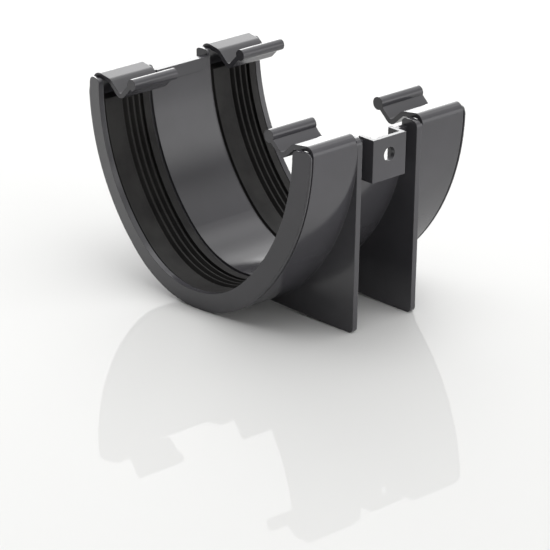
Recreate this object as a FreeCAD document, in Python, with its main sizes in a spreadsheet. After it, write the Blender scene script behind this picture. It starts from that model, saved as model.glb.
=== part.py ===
"""Gutter union for deep half-round gutter: a moulded cradle with two sockets, four clips and two seals.

The gutter runs along X, the fascia board is on the +Y side and Z is up. Shapes are drawn about the
gutter's own section, whose widest level is z = 0 and whose middle is y = 0, and every piece is then
moved so that the origin lies on the fascia face at the fixing hole.
"""
import FreeCAD, Part
import math
import os

import Sketcher

DIMENSIONS = {
    # Gutter seat: the outside of the gutter, as two side arcs and a bottom arc
    "bore_half_width": 57.5,
    "bore_depth": 74.2,
    "side_radius": 84.5,
    # Lengths along the gutter, measured from the middle
    "half_length": 45.2,
    "rim_inner_x": 42.6,
    "rim_slope": 1.8,
    "rim_width": 7.8,
    "fin_outer_x": 17.8,
    "fin_thickness": 2.5,
    # Walls
    "channel_wall": 2.5,
    "channel_top": -1.6,
    "socket_depth": 6.5,
    "skin_thickness": 2.0,
    "skin_top": 0.5,
    "skin_lap": 0.6,
    "rim_groove_depth": 1.3,
    "seat_groove_width": 1.4,
    "seat_groove_depth": 1.2,
    "flange_width": 7.0,
    "wall_top": 2.5,
    # Top edges of the walls, of which the front one is lower and leans in
    "back_top": 1.8,
    "back_lean": 0.0,
    "back_round": 2.8,
    "back_inner_round": 2.4,
    "front_top": 0.7,
    "front_lean": 1.2,
    "front_round": 3.0,
    "front_inner_round": 2.0,
    "edge_depth": 8.7,
    "edge_gap": 0.2,
    "edge_fall": 3.0,
    # Fins that stand off the fascia
    "fin_depth": 80.5,
    "fin_foot_round": 2.5,
    "fin_lap": 6.0,
    # Spring clips, drawn on the middle of their sheet
    "clip_slot": 0.7,
    "clip_sheet": 2.0,
    "clip_corner": 3.0,
    "clip_bend": 2.6,
    "clip_vee_bend": 2.2,
    "back_clip_root": -1.0,
    "back_clip_lean": 0.0,
    "back_clip_top": 3.2,
    "back_clip_fold_y": 54.6,
    "back_clip_fold_z": 1.6,
    "back_clip_vee_y": 48.2,
    "back_clip_vee_z": -4.3,
    "back_bead_y": 40.6,
    "back_bead_z": 2.2,
    "back_bead_radius": 2.7,
    "front_clip_root": -8.0,
    "front_clip_lean": 1.6,
    "front_clip_top": 1.7,
    "front_clip_fold_y": 54.4,
    "front_clip_fold_z": 0.3,
    "front_clip_vee_y": 47.8,
    "front_clip_vee_z": -5.2,
    "front_bead_y": 41.0,
    "front_bead_z": 2.0,
    "front_bead_radius": 2.4,
    # Fixing lug and its pocket
    "lug_half_width": 9.1,
    "lug_top": -0.6,
    "lug_bottom": -18.5,
    "lug_wall": 2.0,
    "lug_overlap": 0.1,
    "lug_mouth": 5.0,
    "lug_flare": 2.0,
    "lug_flare_root": 0.5,
    "hole_z": -8.1,
    "hole_radius": 3.0,
    # Raised band under the front edge of the seat
    "band_half_length": 13.8,
    "band_bottom": -7.2,
    "band_round": 4.0,
    "band_proud": 0.8,
    # Seals
    "seal_clearance": 0.1,
    "seal_top": -8.5,
    "seal_face": 0.2,
    "seal_valley": 2.0,
    "seal_gap": 0.9,
    "seal_pad_width": 10.1,
    "seal_pad_face": 0.8,
    "seal_first_rib": 2.4,
    "seal_rib_pitch": 3.2,
    "seal_rib_width": 1.1,
    "seal_strip_width": 3.4,
}
SEAL_RIBS = 3

# How near an edge's ends must be to count as level, and to count as at a given place
LEVEL_WITHIN = 1e-4
PLACED_WITHIN = 0.02
LEAST_CUT = 1.0

UP = FreeCAD.Vector(0, 0, 1)
ORIGIN = (-1, 1)
H_AXIS = -1
V_AXIS = -2
START = 1
END = 2
CENTRE = 3

# Depth of the bottom arc's centre, and that arc's radius, from the three driving sizes of the seat
BOTTOM_CENTRE = (
    "((Sheet.bore_depth - Sheet.bore_half_width)"
    " * (2 * Sheet.side_radius - Sheet.bore_half_width - Sheet.bore_depth)"
    " / (2 * (Sheet.side_radius - Sheet.bore_depth)))"
)
BOTTOM_RADIUS = f"(Sheet.bore_depth - {BOTTOM_CENTRE})"
SKIN_OUTER = "(Sheet.socket_depth + Sheet.skin_thickness)"
FASCIA_Y = f"(Sheet.bore_half_width + {SKIN_OUTER})"
SKIN_MIDDLE = "(Sheet.bore_half_width + Sheet.socket_depth + Sheet.skin_thickness / 2)"
CLIP_SPANS = {
    "near": ("(Sheet.fin_outer_x + Sheet.clip_slot)", "(Sheet.rim_inner_x - Sheet.clip_slot)"),
    "far": ("(Sheet.clip_slot - Sheet.rim_inner_x)", "(-Sheet.fin_outer_x - Sheet.clip_slot)"),
}
CLIP_SIDES = {"back": 1, "front": -1}


def make_sheet(doc):
    """Put every driving dimension in a named cell."""
    sheet = doc.addObject("Spreadsheet::Sheet", "Sheet")
    for row, (alias, value) in enumerate(DIMENSIONS.items(), start=1):
        sheet.set(f"A{row}", alias)
        sheet.set(f"B{row}", str(value))
        sheet.setAlias(f"B{row}", alias)
    doc.recompute()
    return sheet


def evaluate(doc, expression):
    """Value of a sheet expression as a plain number."""
    return float(doc.Sheet.evalExpression(expression))


def make_body(doc, name):
    """A body whose frame has its origin on the fascia face at the fixing hole."""
    body = doc.addObject("PartDesign::Body", name)
    body.Label = name
    body.setExpression("Placement.Base.y", f"-{FASCIA_Y}")
    body.setExpression("Placement.Base.z", "-Sheet.hole_z")
    return body


def make_sketch(body, name, plane, offset="0"):
    """A sketch on one of the body's origin planes, moved along that plane's normal."""
    sketch = body.newObject("Sketcher::SketchObject", name)
    support = next(item for item in body.Origin.OriginFeatures if item.Role == plane)
    sketch.AttachmentSupport = [(support, "")]
    sketch.MapMode = "FlatFace"
    sketch.setExpression("AttachmentOffset.Base.z", offset)
    body.Document.recompute()
    return sketch


def bind(sketch, kind, *arguments, to):
    """Add a dimension to a sketch and tie it to a sheet expression."""
    value = evaluate(sketch.Document, to)
    index = sketch.addConstraint(Sketcher.Constraint(kind, *arguments, value))
    sketch.setExpression(f"Constraints[{index}]", to)


def place_point(sketch, geometry, point, x, y):
    """Hold one point of a sketch at a given place."""
    bind(sketch, "DistanceX", *ORIGIN, geometry, point, to=x)
    bind(sketch, "DistanceY", *ORIGIN, geometry, point, to=y)


def join(sketch, first, first_point, second, second_point):
    """Make two ends meet."""
    sketch.addConstraint(Sketcher.Constraint("Coincident", first, first_point, second, second_point))


def blend(sketch, first, first_point, second, second_point):
    """Make two ends meet with a common tangent."""
    sketch.addConstraint(Sketcher.Constraint("Tangent", first, first_point, second, second_point))


def on_axis(sketch, geometry, point, axis):
    """Keep a point on one of the sketch's axes."""
    sketch.addConstraint(Sketcher.Constraint("PointOnObject", geometry, point, axis))


def vector(x, y):
    return FreeCAD.Vector(x, y, 0)


def arc(sketch, centre, radius, first_angle, last_angle):
    """Add an arc that runs anticlockwise between two angles in radians."""
    circle = Part.Circle(vector(*centre), UP, radius)
    return sketch.addGeometry(Part.ArcOfCircle(circle, first_angle, last_angle))


def draw_circle(sketch, radius, y, x=None):
    """Draw a circle at a level, on the upright axis unless a distance from it is given."""
    doc = sketch.Document
    place = vector(evaluate(doc, x) if x else 0, evaluate(doc, y))
    circle = sketch.addGeometry(Part.Circle(place, UP, evaluate(doc, radius)))
    if x:
        bind(sketch, "DistanceX", *ORIGIN, circle, CENTRE, to=x)
    else:
        on_axis(sketch, circle, CENTRE, V_AXIS)
    bind(sketch, "DistanceY", *ORIGIN, circle, CENTRE, to=y)
    bind(sketch, "Radius", circle, to=radius)


def line(sketch, first, last):
    return sketch.addGeometry(Part.LineSegment(vector(*first), vector(*last)))


def seat_numbers(sketch, offset, top):
    """Sizes of the seat's outline, moved outwards by an offset and cut off at a level."""
    doc = sketch.Document
    half = evaluate(doc, "Sheet.bore_half_width")
    side = evaluate(doc, "Sheet.side_radius")
    drop = evaluate(doc, BOTTOM_CENTRE)
    return {
        "half": half + evaluate(doc, offset),
        "side": side + evaluate(doc, offset),
        "side_centre": side - half,
        "bottom": evaluate(doc, BOTTOM_RADIUS) + evaluate(doc, offset),
        "drop": drop,
        "turn": math.atan2(drop, side - half),
        "top": evaluate(doc, top),
    }


def bind_seat_side(sketch, straight, side, bottom, offset, top):
    """Tie the fascia side of a seat outline to the sheet."""
    sketch.addConstraint(Sketcher.Constraint("Vertical", straight))
    blend(sketch, straight, END, side, END)
    blend(sketch, side, START, bottom, END)
    on_axis(sketch, side, CENTRE, H_AXIS)
    on_axis(sketch, bottom, CENTRE, V_AXIS)
    bind(sketch, "Radius", side, to=f"Sheet.side_radius + {offset}")
    bind(sketch, "Radius", bottom, to=f"{BOTTOM_RADIUS} + {offset}")
    place_point(sketch, straight, START, f"Sheet.bore_half_width + {offset}", top)


def draw_seat(sketch, offset, top):
    """Draw the gutter's outline at an offset, from the fascia side round to the front."""
    seat = seat_numbers(sketch, offset, top)
    half, turn = seat["half"], seat["turn"]
    straight = line(sketch, (half, seat["top"]), (half, 0))
    side = arc(sketch, (-seat["side_centre"], 0), seat["side"], -turn, 0)
    bottom = arc(sketch, (0, -seat["drop"]), seat["bottom"], turn - math.pi, -turn)
    front = arc(sketch, (seat["side_centre"], 0), seat["side"], math.pi, math.pi + turn)
    rise = line(sketch, (-half, 0), (-half, seat["top"]))
    bind_seat_side(sketch, straight, side, bottom, offset, top)
    blend(sketch, bottom, START, front, END)
    blend(sketch, front, START, rise, START)
    sketch.addConstraint(Sketcher.Constraint("Vertical", rise))
    on_axis(sketch, front, CENTRE, H_AXIS)
    sketch.addConstraint(Sketcher.Constraint("Equal", side, front))
    bind(sketch, "DistanceY", *ORIGIN, rise, END, to=top)
    return straight, rise


def draw_seat_band(sketch, inner, outer, top):
    """Close the space between two seat outlines, for a wall that follows the gutter."""
    inner_start, inner_end = draw_seat(sketch, inner, top)
    outer_start, outer_end = draw_seat(sketch, outer, top)
    for first, last, point in ((inner_start, outer_start, START), (inner_end, outer_end, END)):
        start, stop = sketch.getPoint(first, point), sketch.getPoint(last, point)
        cap = sketch.addGeometry(Part.LineSegment(start, stop))
        join(sketch, cap, START, first, point)
        join(sketch, cap, END, last, point)


def draw_polygon(sketch, corners):
    """Draw a closed outline whose corners are pairs of sheet expressions."""
    doc = sketch.Document
    places = [(evaluate(doc, x), evaluate(doc, y)) for x, y in corners]
    sides = [line(sketch, place, places[(index + 1) % len(places)]) for index, place in enumerate(places)]
    for index, side in enumerate(sides):
        join(sketch, side, END, sides[(index + 1) % len(sides)], START)
        place_point(sketch, side, START, *corners[index])


def draw_rounded_path(sketch, corners, radii):
    """Draw an open path of straight runs, with an arc of a given radius at each inner corner."""
    doc = sketch.Document
    places = [vector(evaluate(doc, x), evaluate(doc, y)) for x, y in corners]
    starts = [places[0]]
    ends = []
    arcs = []
    for before, corner, after, radius in zip(places, places[1:], places[2:], radii):
        back = (before - corner).normalize()
        ahead = (after - corner).normalize()
        half_angle = back.getAngle(ahead) / 2
        size = evaluate(doc, radius)
        reach = size / math.tan(half_angle)
        centre = corner + (back + ahead).normalize() * (size / math.sin(half_angle))
        first, last = corner + back * reach, corner + ahead * reach
        ends.append(first)
        starts.append(last)
        arcs.append((centre, size, first, last))
    ends.append(places[-1])
    runs = [sketch.addGeometry(Part.LineSegment(first, last)) for first, last in zip(starts, ends)]
    place_point(sketch, runs[0], START, *corners[0])
    place_point(sketch, runs[-1], END, *corners[-1])
    for index, (centre, size, first, last) in enumerate(arcs):
        draw_corner(sketch, runs[index], runs[index + 1], centre, size, first, last)
        bind_corner(sketch, runs[index], runs[index + 1], corners[index + 1])
        bind(sketch, "Radius", len(runs) + 2 * index, to=radii[index])
    return runs


def close_outline(sketch, runs, corners):
    """Close a rounded path with straight sides through further corners."""
    doc = sketch.Document
    places = [vector(evaluate(doc, x), evaluate(doc, y)) for x, y in corners]
    places = [sketch.getPoint(runs[-1], END)] + places + [sketch.getPoint(runs[0], START)]
    sides = [sketch.addGeometry(Part.LineSegment(first, last)) for first, last in zip(places, places[1:])]
    chain = [runs[-1]] + sides + [runs[0]]
    for before, after in zip(chain, chain[1:]):
        join(sketch, before, END, after, START)
    for side, corner in zip(sides, corners):
        place_point(sketch, side, END, *corner)


def draw_corner(sketch, run, following, centre, size, first, last):
    """Round the corner between two runs, whichever way the path turns there."""
    first_angle = math.atan2(first.y - centre.y, first.x - centre.x)
    last_angle = math.atan2(last.y - centre.y, last.x - centre.x)
    left_turn = (first - centre).cross(last - centre).z > 0
    angles = (first_angle, last_angle) if left_turn else (last_angle, first_angle)
    bend = arc(sketch, (centre.x, centre.y), size, *angles)
    blend(sketch, run, END, bend, START if left_turn else END)
    blend(sketch, bend, END if left_turn else START, following, START)


def bind_corner(sketch, run, following, corner):
    """Hold the sharp corner of two runs at its place."""
    doc = sketch.Document
    place = Part.Point(vector(evaluate(doc, corner[0]), evaluate(doc, corner[1])))
    point = sketch.addGeometry(place, True)
    place_point(sketch, point, START, *corner)
    on_axis(sketch, point, START, run)
    on_axis(sketch, point, START, following)


def pad(body, name, sketch, length, midplane=False):
    feature = body.newObject("PartDesign::Pad", name)
    feature.Profile = sketch
    feature.setExpression("Length", length)
    feature.Midplane = midplane
    body.Document.recompute()
    return feature


def pocket(body, name, sketch, length, upwards=False):
    """Cut a sketch's shape out of the body, and make sure that it removed something."""
    before = body.Shape.Volume
    feature = body.newObject("PartDesign::Pocket", name)
    feature.Profile = sketch
    feature.setExpression("Length", length)
    feature.Reversed = upwards
    body.Document.recompute()
    if body.Shape.Volume > before - LEAST_CUT:
        raise RuntimeError(f"{name} cut nothing")
    return feature


def sweep(body, name, profile, path):
    """Carry a profile along a path that lies across the gutter."""
    feature = body.newObject("PartDesign::AdditivePipe", name)
    feature.Profile = profile
    feature.Spine = (path, [f"Edge{index + 1}" for index in range(len(path.Shape.Edges))])
    feature.Mode = "Standard"
    body.Document.recompute()
    return feature


def mirror_lengthwise(body, name, originals):
    """Repeat features at the other end of the union."""
    feature = body.newObject("PartDesign::Mirrored", name)
    feature.Originals = originals
    plane = next(item for item in body.Origin.OriginFeatures if item.Role == "YZ_Plane")
    feature.MirrorPlane = (plane, [""])
    body.Tip = feature
    body.Document.recompute()
    return feature


def round_edges(body, name, places, radius):
    """Round the edges that run along the gutter at given places across it."""
    doc = body.Document
    targets = [(evaluate(doc, y), evaluate(doc, z)) for y, z in places]
    base = body.Tip
    chosen = []
    for index, edge in enumerate(base.Shape.Edges, start=1):
        first, last = edge.firstVertex().Point, edge.lastVertex().Point
        along = abs(first.y - last.y) < LEVEL_WITHIN and abs(first.z - last.z) < LEVEL_WITHIN
        if along and any(math.hypot(first.y - y, first.z - z) < PLACED_WITHIN for y, z in targets):
            chosen.append(f"Edge{index}")
    feature = body.newObject("PartDesign::Fillet", name)
    feature.Base = (base, chosen)
    feature.setExpression("Radius", radius)
    doc.recompute()
    return feature


def trim_top(body, name, level, half_x, middle_x="0"):
    """Cut off whatever stands above a level, over a stretch of the gutter's run."""
    half_y = "(2 * Sheet.bore_half_width)"
    sketch = make_sketch(body, f"{name}_sketch", "XY_Plane", level)
    draw_polygon(sketch, [
        (f"{middle_x} - {half_x}", f"-{half_y}"),
        (f"{middle_x} + {half_x}", f"-{half_y}"),
        (f"{middle_x} + {half_x}", half_y),
        (f"{middle_x} - {half_x}", half_y),
    ])
    return pocket(body, name, sketch, "Sheet.bore_half_width", upwards=True)


def add_channel(body):
    """The plain middle of the seat, where the two gutter ends meet."""
    sketch = make_sketch(body, "channel_sketch", "YZ_Plane")
    draw_seat_band(sketch, "0", "Sheet.channel_wall", "Sheet.wall_top")
    half_x = "(Sheet.fin_outer_x - Sheet.fin_thickness / 2)"
    pad(body, "channel", sketch, f"2 * {half_x}", midplane=True)
    trim_top(body, "channel_edge", "Sheet.channel_top", half_x)


def add_flange(body):
    """The wall across the inner end of a socket."""
    sketch = make_sketch(body, "flange_sketch", "YZ_Plane", "Sheet.fin_outer_x - Sheet.fin_thickness")
    draw_seat_band(sketch, "0", "Sheet.flange_width", "Sheet.wall_top")
    return pad(body, "flange", sketch, "Sheet.fin_thickness")


def add_fin(body):
    """The plate that fills the corner between the round socket and the fascia."""
    offset, top, foot = "Sheet.fin_lap", "Sheet.wall_top", "-Sheet.fin_depth"
    sketch = make_sketch(body, "fin_sketch", "YZ_Plane", "Sheet.fin_outer_x - Sheet.fin_thickness")
    seat = seat_numbers(sketch, offset, top)
    low = -seat["drop"] - seat["bottom"]
    fascia, depth = evaluate(body.Document, FASCIA_Y), evaluate(body.Document, foot)
    straight = line(sketch, (seat["half"], seat["top"]), (seat["half"], 0))
    side = arc(sketch, (-seat["side_centre"], 0), seat["side"], -seat["turn"], 0)
    bottom = arc(sketch, (0, -seat["drop"]), seat["bottom"], -math.pi / 2, -seat["turn"])
    heel = line(sketch, (0, low), (0, depth))
    sole = line(sketch, (0, depth), (fascia, depth))
    back = line(sketch, (fascia, depth), (fascia, seat["top"]))
    crown = line(sketch, (fascia, seat["top"]), (seat["half"], seat["top"]))
    bind_seat_side(sketch, straight, side, bottom, offset, top)
    on_axis(sketch, bottom, START, V_AXIS)
    join(sketch, bottom, START, heel, START)
    join(sketch, heel, END, sole, START)
    join(sketch, sole, END, back, START)
    join(sketch, back, END, crown, START)
    join(sketch, crown, END, straight, START)
    on_axis(sketch, heel, END, V_AXIS)
    place_point(sketch, sole, END, FASCIA_Y, foot)
    bind(sketch, "DistanceY", *ORIGIN, sole, START, to=foot)
    place_point(sketch, back, END, FASCIA_Y, top)
    return pad(body, "fin", sketch, "Sheet.fin_thickness")


def add_skin(body):
    """The outer wall of a socket, which the seal lies against."""
    sketch = make_sketch(body, "skin_sketch", "YZ_Plane", "Sheet.fin_outer_x - Sheet.skin_lap")
    draw_seat_band(sketch, "Sheet.socket_depth", SKIN_OUTER, "Sheet.skin_top")
    return pad(body, "skin", sketch, "Sheet.rim_inner_x - Sheet.fin_outer_x + 2 * Sheet.skin_lap")


def add_rim(body):
    """The end wall of a socket, with a face that slopes back towards its outer edge."""
    top, seat = "Sheet.wall_top", "Sheet.bore_half_width"
    path = make_sketch(body, "rim_path", "YZ_Plane")
    draw_seat(path, "0", top)
    profile = make_sketch(body, "rim_profile", "XY_Plane", top)
    draw_polygon(profile, [
        ("Sheet.rim_inner_x", seat),
        ("Sheet.half_length", seat),
        ("Sheet.half_length - Sheet.rim_slope", f"{seat} + Sheet.rim_width"),
        ("Sheet.rim_inner_x", f"{seat} + Sheet.rim_width"),
    ])
    body.Document.recompute()
    return sweep(body, "rim", profile, path)


def cut_rim_grooves(body):
    """The narrow groove round the outside of each socket, beside its rim."""
    sketch = make_sketch(body, "rim_groove_sketch", "YZ_Plane", "Sheet.rim_inner_x")
    bottom = f"({SKIN_OUTER} - Sheet.rim_groove_depth)"
    draw_seat_band(sketch, bottom, f"({SKIN_OUTER} + Sheet.skin_lap)", "Sheet.wall_top")
    groove = pocket(body, "rim_groove", sketch, "Sheet.clip_slot")
    mirror_lengthwise(body, "far_rim_groove", [groove])


def cut_seat_grooves(body):
    """The narrow groove between each seal and the plain middle of the seat."""
    sketch = make_sketch(body, "seat_groove_sketch", "YZ_Plane", "Sheet.fin_outer_x")
    draw_seat_band(sketch, "(-Sheet.skin_lap)", "Sheet.seat_groove_depth", "Sheet.wall_top")
    groove = pocket(body, "seat_groove", sketch, "Sheet.seat_groove_width")
    mirror_lengthwise(body, "far_seat_groove", [groove])


def shape_edge(body, side):
    """Bring one edge of the rims and walls down to its own level, rounded over on both sides."""
    sign = CLIP_SIDES[side]
    top = f"Sheet.{side}_top"
    root = f"({top} - Sheet.edge_depth)"
    low = f"({top} - Sheet.edge_fall)"
    high = "2 * Sheet.wall_top"
    inner = f"{sign} * (Sheet.bore_half_width - Sheet.edge_gap)"
    inside = f"{sign} * Sheet.bore_half_width / 2"
    clear = f"{sign} * ({FASCIA_Y} + Sheet.skin_thickness)"
    sketch = make_sketch(body, f"{side}_edge_sketch", "YZ_Plane", "Sheet.half_length")
    edge = draw_rounded_path(
        sketch,
        [
            (f"{sign} * {FASCIA_Y}", root),
            (f"{sign} * ({FASCIA_Y} - Sheet.{side}_lean)", top),
            (inner, top),
            (inner, low),
        ],
        [f"Sheet.{side}_round", f"Sheet.{side}_inner_round"],
    )
    close_outline(sketch, edge, [(inside, low), (inside, high), (clear, high), (clear, root)])
    pocket(body, f"{side}_edge", sketch, "2 * Sheet.half_length")


def seat_clips(body, side):
    """Cut the sockets' walls down to the level that the clips on one side rise from."""
    first_x, last_x = CLIP_SPANS["near"]
    sign = CLIP_SIDES[side]
    inner = f"{sign} * (Sheet.bore_half_width + Sheet.socket_depth / 2)"
    outer = f"{sign} * 2 * {SKIN_MIDDLE}"
    sketch = make_sketch(body, f"{side}_clip_seat_sketch", "XY_Plane", f"Sheet.{side}_clip_root")
    draw_polygon(sketch, [(first_x, outer), (last_x, outer), (last_x, inner), (first_x, inner)])
    seat = pocket(body, f"{side}_clip_seat", sketch, "Sheet.bore_half_width", upwards=True)
    mirror_lengthwise(body, f"far_{side}_clip_seat", [seat])


def add_lug(body):
    """The fixing lug: a box on the fascia side, open at its top and flared open towards the gutter."""
    half, wall = "Sheet.lug_half_width", "Sheet.lug_wall"
    root = "(Sheet.bore_half_width + Sheet.lug_overlap)"
    block = make_sketch(body, "lug_sketch", "XY_Plane", "Sheet.lug_bottom")
    draw_polygon(block, [
        (f"-{half}", root),
        (half, root),
        (half, FASCIA_Y),
        (f"-{half}", FASCIA_Y),
    ])
    pad(body, "lug", block, "Sheet.lug_top - Sheet.lug_bottom")
    inside = f"({half} - {wall})"
    flared = f"({inside} + Sheet.lug_flare)"
    mouth = "(Sheet.bore_half_width - Sheet.lug_mouth)"
    throat = "(Sheet.bore_half_width + Sheet.lug_flare_root)"
    cavity = make_sketch(body, "lug_cavity_sketch", "XY_Plane", f"Sheet.lug_bottom + {wall}")
    draw_polygon(cavity, [
        (f"-{flared}", mouth),
        (flared, mouth),
        (flared, f"{throat} - Sheet.lug_flare"),
        (inside, throat),
        (inside, f"{FASCIA_Y} - {wall}"),
        (f"-{inside}", f"{FASCIA_Y} - {wall}"),
        (f"-{inside}", throat),
        (f"-{flared}", f"{throat} - Sheet.lug_flare"),
    ])
    pocket(body, "lug_cavity", cavity, "Sheet.wall_top - Sheet.lug_bottom", upwards=True)
    bore = make_sketch(body, "fixing_hole_sketch", "XZ_Plane")
    draw_circle(bore, "Sheet.hole_radius", "Sheet.hole_z")
    pocket(body, "fixing_hole", bore, f"{FASCIA_Y} + {wall}")


def add_band(body):
    """The raised band along the front edge of the seat."""
    half, bottom, top = "Sheet.band_half_length", "Sheet.band_bottom", "Sheet.channel_top"
    sketch = make_sketch(body, "band_sketch", "XZ_Plane", "Sheet.bore_half_width - Sheet.band_proud")
    edge = draw_rounded_path(
        sketch,
        [(f"-{half}", top), (f"-{half}", bottom), (half, bottom), (half, top)],
        ["Sheet.band_round", "Sheet.band_round"],
    )
    close_outline(sketch, edge, [])
    return pad(body, "band", sketch, "Sheet.band_proud + Sheet.channel_wall / 2")


def make_union_body(doc):
    """The moulded cradle, all but the clips on its edges."""
    body = make_body(doc, "union_body")
    add_channel(body)
    socket = [add_flange(body), add_fin(body), add_skin(body), add_rim(body)]
    mirror_lengthwise(body, "far_socket", socket)
    for side in CLIP_SIDES:
        shape_edge(body, side)
    round_edges(body, "fin_feet", [(FASCIA_Y, "-Sheet.fin_depth")], "Sheet.fin_foot_round")
    cut_rim_grooves(body)
    cut_seat_grooves(body)
    for side in CLIP_SIDES:
        seat_clips(body, side)
    add_lug(body)
    add_band(body)
    return body


def wall_middle(level):
    """How far out the middle of a socket's curved wall is, at a level below its widest."""
    radius = "(Sheet.side_radius + Sheet.socket_depth + Sheet.skin_thickness / 2)"
    return f"({SKIN_MIDDLE} - {radius} + sqrt({radius}^2 - {level}^2))"


def make_clip(doc, end, side):
    """A spring clip: a sheet that rises from the socket wall, folds over and ends in a bead."""
    name = f"{end}_{side}_clip"
    body = make_body(doc, name)
    (first_x, last_x), sign = CLIP_SPANS[end], CLIP_SIDES[side]
    root, half_sheet = f"Sheet.{side}_clip_root", "Sheet.clip_sheet / 2"
    middle = f"{sign} * {wall_middle(root)}"
    bead_y, bead_z = f"{sign} * Sheet.{side}_bead_y", f"Sheet.{side}_bead_z"
    path = make_sketch(body, f"{name}_path", "YZ_Plane")
    draw_rounded_path(
        path,
        [
            (middle, root),
            (f"{sign} * ({SKIN_MIDDLE} - Sheet.{side}_clip_lean)", f"Sheet.{side}_clip_top"),
            (f"{sign} * Sheet.{side}_clip_fold_y", f"Sheet.{side}_clip_fold_z"),
            (f"{sign} * Sheet.{side}_clip_vee_y", f"Sheet.{side}_clip_vee_z"),
            (bead_y, bead_z),
        ],
        ["Sheet.clip_corner", "Sheet.clip_bend", "Sheet.clip_vee_bend"],
    )
    profile = make_sketch(body, f"{name}_profile", "XY_Plane", root)
    draw_polygon(profile, [
        (first_x, f"{middle} - {half_sheet}"),
        (last_x, f"{middle} - {half_sheet}"),
        (last_x, f"{middle} + {half_sheet}"),
        (first_x, f"{middle} + {half_sheet}"),
    ])
    doc.recompute()
    sweep(body, f"{name}_sheet", profile, path)
    round_end = make_sketch(body, f"{name}_bead_sketch", "YZ_Plane", first_x)
    draw_circle(round_end, f"Sheet.{side}_bead_radius", bead_z, x=bead_y)
    pad(body, f"{name}_bead", round_end, f"{last_x} - {first_x}")
    return body


def seal_profile(near_x):
    """Corners of a seal's section, from its pad on one side to its flat strip on the other."""
    face = "(Sheet.bore_half_width + Sheet.seal_face)"
    valley = "(Sheet.bore_half_width + Sheet.seal_valley)"
    base = "(Sheet.bore_half_width + Sheet.socket_depth - Sheet.seal_clearance)"
    far_x = f"({near_x} - (Sheet.rim_inner_x - Sheet.fin_outer_x - 2 * Sheet.seal_clearance))"
    pad_face = "(Sheet.bore_half_width + Sheet.seal_pad_face)"
    corners = [(near_x, base), (near_x, valley)]
    corners.append((f"{near_x} - Sheet.seal_gap", valley))
    corners.append((f"{near_x} - Sheet.seal_gap - Sheet.seal_rib_width / 4", pad_face))
    corners.append((f"{near_x} - Sheet.seal_pad_width", pad_face))
    corners.append((f"{near_x} - Sheet.seal_pad_width - Sheet.seal_rib_width / 2", valley))
    for rib in range(SEAL_RIBS):
        crest = f"({near_x} - Sheet.seal_pad_width - Sheet.seal_first_rib - Sheet.seal_rib_pitch * {rib})"
        corners.append((f"{crest} + Sheet.seal_rib_width", valley))
        corners.append((f"{crest} + Sheet.seal_rib_width / 4", face))
        corners.append((f"{crest} - Sheet.seal_rib_width / 4", face))
        corners.append((f"{crest} - Sheet.seal_rib_width", valley))
    corners.append((f"{far_x} + Sheet.seal_strip_width", valley))
    corners.append((f"{far_x} + Sheet.seal_strip_width", face))
    corners.append((far_x, face))
    corners.append((far_x, base))
    return corners


def make_seal(doc, name, near_x):
    """A ribbed rubber seal that lies round the whole of a socket."""
    body = make_body(doc, name)
    path = make_sketch(body, f"{name}_path", "YZ_Plane")
    draw_seat(path, "0", "Sheet.wall_top")
    profile = make_sketch(body, f"{name}_profile", "XY_Plane", "Sheet.wall_top")
    draw_polygon(profile, seal_profile(near_x))
    doc.recompute()
    sweep(body, f"{name}_run", profile, path)
    trim_top(body, f"{name}_ends", "Sheet.seal_top", "(2 * Sheet.half_length)")
    return body


def check(doc, bodies):
    """Stop if any object failed or any piece is not one sound solid."""
    for item in doc.Objects:
        if "Invalid" in item.State or "Error" in item.State:
            raise RuntimeError(f"{item.Name} failed: {item.State}")
    for body in bodies:
        if body.Shape.isNull() or not body.Shape.isValid() or len(body.Shape.Solids) != 1:
            raise RuntimeError(f"{body.Label} is not one sound solid")


def main():
    doc = FreeCAD.newDocument("gutter_union")
    make_sheet(doc)
    near_end = "(Sheet.rim_inner_x - Sheet.seal_clearance)"
    far_end = "(-Sheet.fin_outer_x - Sheet.seal_clearance)"
    bodies = [
        make_union_body(doc),
        make_seal(doc, "near_seal", near_end),
        make_seal(doc, "far_seal", far_end),
    ]
    for end in CLIP_SPANS:
        for side in CLIP_SIDES:
            bodies.append(make_clip(doc, end, side))
    doc.recompute()
    check(doc, bodies)
    os.makedirs("parts", exist_ok=True)
    for body in bodies:
        body.Shape.exportStep(f"parts/{body.Label}.step")
        print(body.Label, round(body.Shape.Volume), "mm3", body.Shape.BoundBox)


main()
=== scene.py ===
"""Looks for the gutter union: a satin black moulding with rubber seals, on a pale studio floor."""

import math

import bpy
from mathutils import Matrix, Vector

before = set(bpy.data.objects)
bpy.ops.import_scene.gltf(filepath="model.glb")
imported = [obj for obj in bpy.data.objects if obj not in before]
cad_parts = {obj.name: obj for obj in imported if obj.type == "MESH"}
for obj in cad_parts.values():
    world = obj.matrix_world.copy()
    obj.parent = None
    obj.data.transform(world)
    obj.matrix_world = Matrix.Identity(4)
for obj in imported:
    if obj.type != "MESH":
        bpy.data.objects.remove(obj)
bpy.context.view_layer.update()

# Camera: where it stands, which way it looks and how long its lens is, for a square picture
CAMERA_PLACE = (0.91538, 0.88835, 0.45996)
CAMERA_AZIMUTH = math.radians(46.13)
CAMERA_ELEVATION = math.radians(21.90)
CAMERA_ROLL = math.radians(1.16)
SENSOR_MM = 36.0
LENS_MM = 224.2
NEAREST_SEEN = 0.01

# The part rests on the round bottoms of its sockets and on the feet of its fins
SOCKET_BOTTOM = (-0.066, -0.0746)
FOOT = (-0.0025, -0.0724)
FLOOR_SIZE = 30.0

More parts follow.
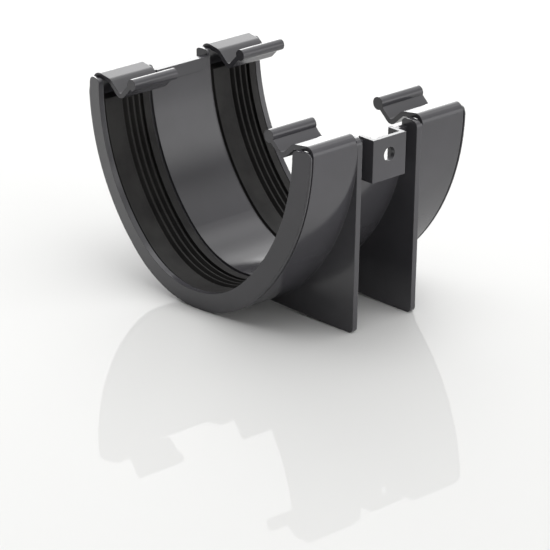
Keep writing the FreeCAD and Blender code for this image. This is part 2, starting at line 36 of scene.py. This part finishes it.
# Soft lights round the part: azimuth, elevation, angle of the even middle and angle of the end,
# all in degrees, and brightness
SOFT_LIGHTS = {
    "front_foot": (234, 2, 8, 26, 1.75),
    "front_window": (228, 15, 8, 26, 2.3),
    "front_window_top": (222, 26, 8, 26, 1.2),
    "far_front_high": (217, 36, 8, 26, 0.45),
    "far_end_high": (192, 49, 8, 26, 1.15),
    "far_fascia_high": (158, 46, 8, 26, 0.65),
    "far_fascia": (138, 30, 8, 26, 0.4),
    "far_fascia_low": (130, 8, 8, 26, 0.45),
    "front_low": (270, 18, 18, 41, 0.5),
    "front_high": (270, 55, 18, 41, 0.5),
    "fascia_far_low": (122, 2, 12, 32, 1.4),
    "fascia_low": (90, 2, 12, 32, 4.0),
    "fascia_high": (80, 58, 18, 41, 0.65),
    "overhead": (0, 90, 18, 41, 1.55),
}

# The clips grow out of the sockets' walls here: how far from the middle of the part, and then the
# spans in y and z of the back clips' roots and of the front clips' roots
CLIP_ROOT_X = (0.0178, 0.0426)
CLIP_ROOTS = (
    ((-0.0660, 0.0010), (0.0064, 0.0088)),
    ((-0.1330, -0.1220), (-0.0006, 0.0008)),
)

# Materials
EDGE_RADIUS = 0.0004
EDGE_SAMPLES = 6
EDGE_TURN = (0.98, 0.80)
WHITE = (1.0, 1.0, 1.0)
PVC_DARK = (0.056, 0.055, 0.060)
PVC_LIGHT = (0.064, 0.062, 0.069)
# Lighter colour for the moulding's edges: partly scuff wear, partly a painted highlight along the
# edges
PVC_WEAR_AND_SHINE = (0.095, 0.093, 0.102)
PVC_ROUGHNESS = (0.13, 0.19)
PVC_IOR = 1.53
RUBBER_DARK = (0.015, 0.014, 0.014)
RUBBER_LIGHT = (0.026, 0.025, 0.024)
# Lighter colour for the seals' edges: partly rubbed wear, partly a painted highlight along the
# edges
RUBBER_WEAR_AND_SHINE = (0.052, 0.050, 0.049)
RUBBER_ROUGHNESS = (0.55, 0.68)
RUBBER_IOR = 1.48
RUBBER_SHINE = 0.3
FLOOR_COLOUR = (0.76, 0.76, 0.75)
FLOOR_ROUGHNESS = 0.015
FLOOR_IOR = 1.08

# Noise in the finishes: cycles per metre, and which part of the noise's range is used
PVC_CLOUD = 38.0
PVC_SCUFF = 420.0
PVC_MOTTLE = 90.0
PVC_GRAIN = 2600.0
PVC_WAVE = 55.0
RUBBER_CLOUD = 70.0
RUBBER_MOTTLE = 160.0
RUBBER_GRAIN = 1800.0
CLOUD_RANGE = (0.35, 0.65)
SCUFF_RANGE = (0.42, 0.62)
MOTTLE_RANGE = (0.3, 0.7)
FULL = (0.0, 1.0)

# Relief of the finishes: height in metres, and strength
PVC_GRAIN_RELIEF = (0.00003, 0.2)
PVC_WAVE_RELIEF = (0.0004, 0.06)
RUBBER_GRAIN_RELIEF = (0.00005, 0.4)


def new_material(name):
    """A material, its node tree and the shader in it."""
    material = bpy.data.materials.new(name)
    material.use_nodes = True
    tree = material.node_tree
    return material, tree, tree.nodes["Principled BSDF"]


def noise(tree, scale, detail=4.0, roughness=0.55):
    """Noise in the part's own coordinates, in cycles per metre."""
    place = tree.nodes.new("ShaderNodeTexCoord")
    node = tree.nodes.new("ShaderNodeTexNoise")
    node.inputs["Scale"].default_value = scale
    node.inputs["Detail"].default_value = detail
    node.inputs["Roughness"].default_value = roughness
    tree.links.new(place.outputs["Object"], node.inputs["Vector"])
    return node.outputs["Fac"]


def spread(tree, value, source, target, shape="LINEAR"):
    """Map a value from one range to another."""
    node = tree.nodes.new("ShaderNodeMapRange")
    node.interpolation_type = shape
    node.inputs["From Min"].default_value, node.inputs["From Max"].default_value = source
    node.inputs["To Min"].default_value, node.inputs["To Max"].default_value = target
    tree.links.new(value, node.inputs["Value"])
    return node.outputs["Result"]


def mix_colour(tree, factor, first, second):
    """Blend two colours, each of them a plain colour or another node's output."""
    node = tree.nodes.new("ShaderNodeMix")
    node.data_type = "RGBA"
    tree.links.new(factor, node.inputs["Factor"])
    for socket, colour in ((node.inputs["A"], first), (node.inputs["B"], second)):
        if isinstance(colour, tuple):
            socket.default_value = (*colour, 1.0)
        else:
            tree.links.new(colour, socket)
    return node.outputs["Result"]


def calculate(tree, operation, *values):
    """One step of arithmetic on numbers and other nodes' outputs."""
    node = tree.nodes.new("ShaderNodeMath")
    node.operation = operation
    for socket, value in zip(node.inputs, values):
        if isinstance(value, float):
            socket.default_value = value
        else:
            tree.links.new(value, socket)
    return node.outputs["Value"]


def within(tree, value, span):
    """1 where a value lies in a span, and 0 elsewhere."""
    low, high = span
    return calculate(tree, "COMPARE", value, (low + high) / 2, (high - low) / 2)


def clip_roots(tree):
    """A mask that is 1 where the clips grow out of the sockets' walls."""
    place = tree.nodes.new("ShaderNodeTexCoord")
    split = tree.nodes.new("ShaderNodeSeparateXYZ")
    tree.links.new(place.outputs["Object"], split.inputs["Vector"])
    along = within(tree, calculate(tree, "ABSOLUTE", split.outputs["X"]), CLIP_ROOT_X)
    masks = []
    for span_y, span_z in CLIP_ROOTS:
        across = within(tree, split.outputs["Y"], span_y)
        level = within(tree, split.outputs["Z"], span_z)
        masks.append(calculate(tree, "MULTIPLY", along, calculate(tree, "MULTIPLY", across, level)))
    return calculate(tree, "ADD", *masks)


def soft_edges(tree):
    """Normals that round off sharp edges, and a mask that is 1 along those edges.

    Neither acts at the clips' roots, where the moulding has no edge.
    """
    bevel = tree.nodes.new("ShaderNodeBevel")
    bevel.inputs["Radius"].default_value = EDGE_RADIUS
    bevel.samples = EDGE_SAMPLES
    geometry = tree.nodes.new("ShaderNodeNewGeometry")
    normal = tree.nodes.new("ShaderNodeMix")
    normal.data_type = "VECTOR"
    tree.links.new(clip_roots(tree), normal.inputs["Factor"])
    tree.links.new(bevel.outputs["Normal"], normal.inputs["A"])
    tree.links.new(geometry.outputs["Normal"], normal.inputs["B"])
    dot = tree.nodes.new("ShaderNodeVectorMath")
    dot.operation = "DOT_PRODUCT"
    tree.links.new(normal.outputs["Result"], dot.inputs[0])
    tree.links.new(geometry.outputs["Normal"], dot.inputs[1])
    mask = spread(tree, dot.outputs["Value"], EDGE_TURN, FULL)
    return normal.outputs["Result"], mask


def bump(tree, height, normal, relief):
    """Fine relief on top of a normal."""
    node = tree.nodes.new("ShaderNodeBump")
    node.inputs["Distance"].default_value, node.inputs["Strength"].default_value = relief
    tree.links.new(height, node.inputs["Height"])
    tree.links.new(normal, node.inputs["Normal"])
    return node.outputs["Normal"]


def make_pvc():
    """Black PVC from a mould: satin, a little uneven in tone, lighter in scuffs along its edges,
    partly as wear and partly as a painted edge highlight.
    """
    material, tree, shader = new_material("black_pvc")
    normal, edge = soft_edges(tree)
    cloud = spread(tree, noise(tree, PVC_CLOUD), CLOUD_RANGE, FULL)
    scuffs = spread(tree, noise(tree, PVC_SCUFF), SCUFF_RANGE, FULL)
    base = mix_colour(tree, cloud, PVC_DARK, PVC_LIGHT)
    # Scuffed edges turn lighter: partly wear, partly a painted highlight along the edges
    wear_and_shine = mix_colour(tree, calculate(tree, "MULTIPLY", edge, scuffs), base, PVC_WEAR_AND_SHINE)
    tree.links.new(wear_and_shine, shader.inputs["Base Color"])
    rough = spread(tree, noise(tree, PVC_MOTTLE, detail=6.0), MOTTLE_RANGE, PVC_ROUGHNESS)
    tree.links.new(rough, shader.inputs["Roughness"])
    grain = bump(tree, noise(tree, PVC_GRAIN, detail=2.0), normal, PVC_GRAIN_RELIEF)
    wave = bump(tree, noise(tree, PVC_WAVE, detail=1.0), grain, PVC_WAVE_RELIEF)
    tree.links.new(wave, shader.inputs["Normal"])
    shader.inputs["IOR"].default_value = PVC_IOR
    return material


def make_rubber():
    """Black rubber: duller than the moulding, with a dusty bloom and a fine grain, and lighter
    along every edge, partly as rubbed wear and partly as a painted edge highlight.
    """
    material, tree, shader = new_material("black_rubber")
    normal, edge = soft_edges(tree)
    cloud = spread(tree, noise(tree, RUBBER_CLOUD, detail=5.0), CLOUD_RANGE, FULL)
    base = mix_colour(tree, cloud, RUBBER_DARK, RUBBER_LIGHT)
    # Every edge turns lighter: partly rubbed wear, partly a painted highlight along the edges
    tree.links.new(mix_colour(tree, edge, base, RUBBER_WEAR_AND_SHINE), shader.inputs["Base Color"])
    rough = spread(tree, noise(tree, RUBBER_MOTTLE), MOTTLE_RANGE, RUBBER_ROUGHNESS)
    tree.links.new(rough, shader.inputs["Roughness"])
    grain = bump(tree, noise(tree, RUBBER_GRAIN, detail=3.0), normal, RUBBER_GRAIN_RELIEF)
    tree.links.new(grain, shader.inputs["Normal"])
    shader.inputs["IOR"].default_value = RUBBER_IOR
    shader.inputs["Specular IOR Level"].default_value = RUBBER_SHINE
    return material


def dress_nodes():
    """Give each CAD piece its finish."""
    pvc, rubber = make_pvc(), make_rubber()
    for name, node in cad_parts.items():
        node.data.materials.clear()
        node.data.materials.append(rubber if name.endswith("seal") else pvc)


def make_floor():
    """A pale, slightly glossy floor, laid against the sockets' bottoms and the fins' feet."""
    slope = (FOOT[1] - SOCKET_BOTTOM[1]) / (FOOT[0] - SOCKET_BOTTOM[0])
    half = FLOOR_SIZE / 2
    mesh = bpy.data.meshes.new("floor")
    corners = [(x, SOCKET_BOTTOM[0] + y, SOCKET_BOTTOM[1] + slope * y)
               for x, y in ((-half, -half), (half, -half), (half, half), (-half, half))]
    mesh.from_pydata(corners, [], [(0, 1, 2, 3)])
    floor = bpy.data.objects.new("floor", mesh)
    bpy.context.scene.collection.objects.link(floor)
    material, _, shader = new_material("studio_floor")
    shader.inputs["Base Color"].default_value = (*FLOOR_COLOUR, 1.0)
    shader.inputs["Roughness"].default_value = FLOOR_ROUGHNESS
    shader.inputs["IOR"].default_value = FLOOR_IOR
    floor.data.materials.append(material)


def heading(azimuth, elevation):
    """The direction of a compass angle and a height above the horizon."""
    level = math.cos(elevation)
    return Vector((level * math.cos(azimuth), level * math.sin(azimuth), math.sin(elevation)))


def soft_light(tree, direction, azimuth, elevation, middle, end, brightness):
    """A round patch of light in the surroundings that fades towards its end."""
    facing = tree.nodes.new("ShaderNodeVectorMath")
    facing.operation = "DOT_PRODUCT"
    facing.inputs[1].default_value = heading(math.radians(azimuth), math.radians(elevation))
    tree.links.new(direction, facing.inputs[0])
    fade = (math.cos(math.radians(end)), math.cos(math.radians(middle)))
    return spread(tree, facing.outputs["Value"], fade, (0.0, brightness), "SMOOTHSTEP")


def make_world():
    """Soft lights all round the part; the camera sees plain white instead of them."""
    world = bpy.data.worlds.new("studio")
    world.use_nodes = True
    tree = world.node_tree
    direction = tree.nodes.new("ShaderNodeTexCoord").outputs["Generated"]
    lights = [soft_light(tree, direction, *settings) for settings in SOFT_LIGHTS.values()]
    brightness = lights[0]
    for light in lights[1:]:
        brightness = calculate(tree, "ADD", brightness, light)
    lit = tree.nodes["Background"]
    lit.inputs["Color"].default_value = (*WHITE, 1.0)
    tree.links.new(brightness, lit.inputs["Strength"])
    seen = tree.nodes.new("ShaderNodeBackground")
    seen.inputs["Color"].default_value = (*WHITE, 1.0)
    path = tree.nodes.new("ShaderNodeLightPath")
    choose = tree.nodes.new("ShaderNodeMixShader")
    tree.links.new(path.outputs["Is Camera Ray"], choose.inputs["Fac"])
    tree.links.new(lit.outputs["Background"], choose.inputs[1])
    tree.links.new(seen.outputs["Background"], choose.inputs[2])
    tree.links.new(choose.outputs["Shader"], tree.nodes["World Output"].inputs["Surface"])
    bpy.context.scene.world = world


def make_camera():
    """The photograph's camera: a long lens, looking down on the part from the fascia side."""
    back = heading(CAMERA_AZIMUTH, CAMERA_ELEVATION)
    right = Vector((-math.sin(CAMERA_AZIMUTH), math.cos(CAMERA_AZIMUTH), 0.0))
    up = back.cross(right)
    turned_right = math.cos(CAMERA_ROLL) * right + math.sin(CAMERA_ROLL) * up
    turned_up = math.cos(CAMERA_ROLL) * up - math.sin(CAMERA_ROLL) * right
    data = bpy.data.cameras.new("camera")
    data.sensor_width = SENSOR_MM
    data.lens = LENS_MM
    data.clip_start = NEAREST_SEEN
    camera = bpy.data.objects.new("camera", data)
    axes = Matrix((turned_right, turned_up, back)).transposed()
    camera.matrix_world = Matrix.Translation(CAMERA_PLACE) @ axes.to_4x4()
    bpy.context.scene.collection.objects.link(camera)
    bpy.context.scene.camera = camera


dress_nodes()
make_floor()
make_world()
make_camera()
bpy.context.scene.view_settings.view_transform = "Standard"
